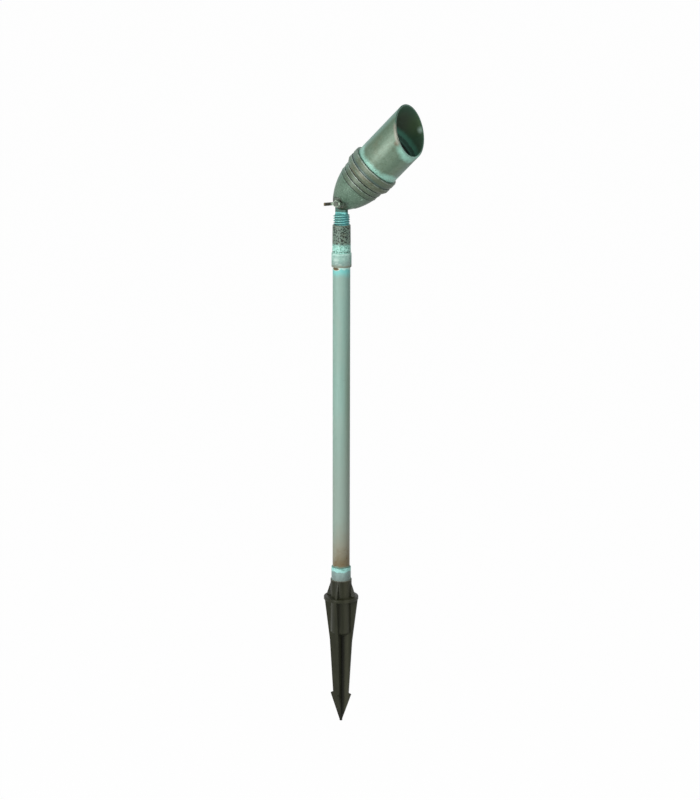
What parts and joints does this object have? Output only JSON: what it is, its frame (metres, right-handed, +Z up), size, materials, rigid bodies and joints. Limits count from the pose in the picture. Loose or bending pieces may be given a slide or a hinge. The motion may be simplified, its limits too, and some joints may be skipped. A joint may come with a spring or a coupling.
{
  "type": "garden spotlight",
  "caption": "Bullet-shaped low-voltage garden spotlight with a slant-cut hood on a tilting knuckle, a tall riser tube and a finned plastic ground spike, in weathered green brass.",
  "frame": {"origin": "centre of the spike's flange on its underside, at ground level", "axes": "+Z up along the riser, +X the way the head leans, the tilt axis parallel to Y with the wing nut on the -Y side"},
  "size_m": [0.1228, 0.0644, 0.8095],
  "materials": {
    "spike_plastic": "moulded satin black",
    "collar_brass": "pale verdigris",
    "riser_copper": "grey-green verdigris",
    "dark_brass": "dark brown patina",
    "bright_verdigris": "bright turquoise verdigris",
    "head_brass": "grey-green patina",
    "hood_brass": "grey-green patina with brown",
    "nut_brass": "dark brown patina",
    "stainless": "dull",
    "nylon": "natural",
    "seal_rubber": "matte",
    "lens_glass": "clear",
    "lamp_glass": "clear",
    "ceramic": "unglazed white",
    "contact_brass": "bare",
    "pin_metal": "bright",
    "reflector_mirror": "faceted mirror"
  },
  "bodies": {
    "stand": {"ground_spike": "spike_plastic", "lower_adapter": "collar_brass", "riser_tube": "riser_copper", "upper_collar": "collar_brass", "riser_coupling": "dark_brass"},
    "knuckle": {"knuckle_stem": "bright_verdigris"},
    "head": {"rear_housing": "head_brass", "pivot_bolt": "nut_brass", "friction_washers": "nylon", "nut_washer": "nut_brass", "lock_washer": "nut_brass", "lamp_socket": "ceramic", "socket_contacts": "contact_brass", "socket_screws": "stainless", "lamp_pins": "pin_metal", "lamp_base": "ceramic", "lamp_capsule": "lamp_glass", "lamp_reflector": "reflector_mirror", "lamp_cover_glass": "lamp_glass"},
    "hood": {"hood": "hood_brass", "hood_seal": "seal_rubber", "lens": "lens_glass", "lens_gasket": "seal_rubber", "lens_retainer": "stainless"},
    "wing_nut": {"wing_nut": "nut_brass"}
  },
  "joints": [
    {"name": "head_pan", "type": "hinge", "parent": "stand", "child": "knuckle", "pos_m": [0, 0, 0.4893], "axis": [0, 0, 1], "range_deg": [-180, 180]},
    {"name": "head_tilt", "type": "hinge", "parent": "knuckle", "child": "head", "pos_m": [0, 0, 0.5177], "axis": [0, 1, 0], "range_deg": [-44.4, 35.6]},
    {"name": "hood_turn", "type": "hinge", "parent": "head", "child": "hood", "pos_m": [0, 0, 0.5177], "axis": [0.6997, 0, 0.7145], "continuous": true},
    {"name": "wing_nut_turn", "type": "hinge", "parent": "head", "child": "wing_nut", "pos_m": [0, 0, 0.5177], "axis": [0, 1, 0], "continuous": true}
  ]
}
